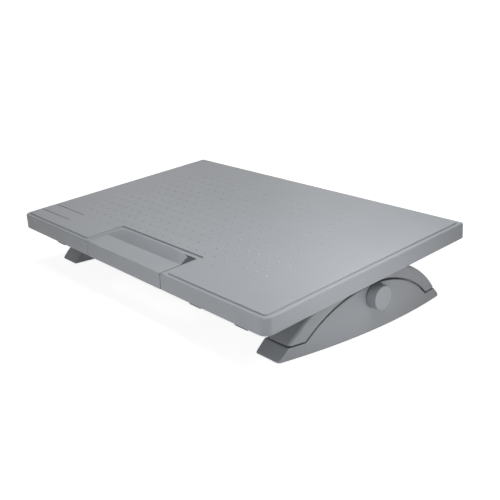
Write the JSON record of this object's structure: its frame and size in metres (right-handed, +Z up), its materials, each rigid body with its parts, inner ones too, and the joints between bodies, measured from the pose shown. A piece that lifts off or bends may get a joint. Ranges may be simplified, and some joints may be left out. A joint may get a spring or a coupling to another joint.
{
  "type": "tilting footrest",
  "caption": "Wide tilting foot tray with grip panel and front toe pedal, hinged on a cross shaft between two arched feet that lift it by rack and pinion.",
  "frame": {"origin": "on the floor, under the middle of the bounding box", "axes": "+X to the sitter's right along the tray's long side, +Y away from the sitter, +Z up"},
  "size_m": [0.56, 0.3604, 0.1125],
  "materials": {
    "tray_grey": "fine moulded texture, pale blue-grey",
    "foot_grey": "fine moulded texture, blue-grey",
    "rubber_black": "matt",
    "steel": "bright zinc",
    "acetal": "smooth natural white"
  },
  "bodies": {
    "base": {"foot_base_right": "foot_grey", "foot_base_left": "foot_grey", "foot_pad_front_right": "rubber_black", "foot_pad_front_left": "rubber_black", "foot_pad_rear_right": "rubber_black", "foot_pad_rear_left": "rubber_black", "knob_bush_right": "acetal", "knob_bush_left": "acetal", "inner_bush_right": "acetal", "inner_bush_left": "acetal"},
    "lift": {"arch_right": "foot_grey", "arch_left": "foot_grey", "tilt_shaft": "steel", "brake_drum": "steel", "shaft_collar_right": "steel", "shaft_collar_left": "steel"},
    "height_shaft": {"lift_shaft": "steel", "pinion_right": "acetal", "pinion_left": "acetal", "knob_right": "foot_grey", "knob_left": "foot_grey"},
    "platform": {"tray": "tray_grey", "hinge_saddle_right": "foot_grey", "hinge_saddle_left": "foot_grey", "screw_1": "steel", "screw_2": "steel", "screw_3": "steel", "screw_4": "steel", "screw_5": "steel", "screw_6": "steel", "brake_bracket": "steel", "lever_pin": "steel", "pedal_pin_right": "steel", "pedal_pin_left": "steel", "front_pad_1": "rubber_black", "front_pad_2": "rubber_black", "front_pad_3": "rubber_black", "return_spring": "steel"},
    "pedal": {"pedal": "tray_grey"},
    "pull_rod": {"pull_rod": "steel", "spring_washer": "steel"},
    "brake_lever": {"brake_lever": "steel", "brake_pad": "rubber_black"}
  },
  "joints": [
    {"name": "height", "type": "slide", "parent": "base", "child": "lift", "axis": [0, 0, 1], "range_m": [0, 0.019]},
    {"name": "knob_turn", "type": "hinge", "parent": "base", "child": "height_shaft", "pos_m": [0, 0.01914, 0.0475], "axis": [1, 0, 0], "range_deg": [0, 145.2]},
    {"name": "tilt", "type": "hinge", "parent": "lift", "child": "platform", "pos_m": [0, 0.01914, 0.079], "axis": [1, 0, 0], "range_deg": [-5.25, 12.75]},
    {"name": "pedal_press", "type": "hinge", "parent": "platform", "child": "pedal", "pos_m": [0, -0.12715, 0.06666], "axis": [1, 0, 0], "range_deg": [0, 8], "stiffness_Nm_per_rad": 0.3, "springref_deg": -14.32},
    {"name": "rod_slide", "type": "slide", "parent": "platform", "child": "pull_rod", "axis": [0, 0.9958, 0.0915], "range_m": [-0.0013, 0], "deforming": ["return_spring"]},
    {"name": "brake_turn", "type": "hinge", "parent": "platform", "child": "brake_lever", "pos_m": [0, -0.0028, 0.08391], "axis": [1, 0, 0], "range_deg": [-10.6, 0]}
  ],
  "couplings": [
    {"joint": "knob_turn", "follows": "height", "rad_per_m": 133.33},
    {"joint": "rod_slide", "follows": "pedal_press", "m_per_rad": -0.00897},
    {"joint": "brake_turn", "follows": "pedal_press", "ratio": -1.319}
  ]
}
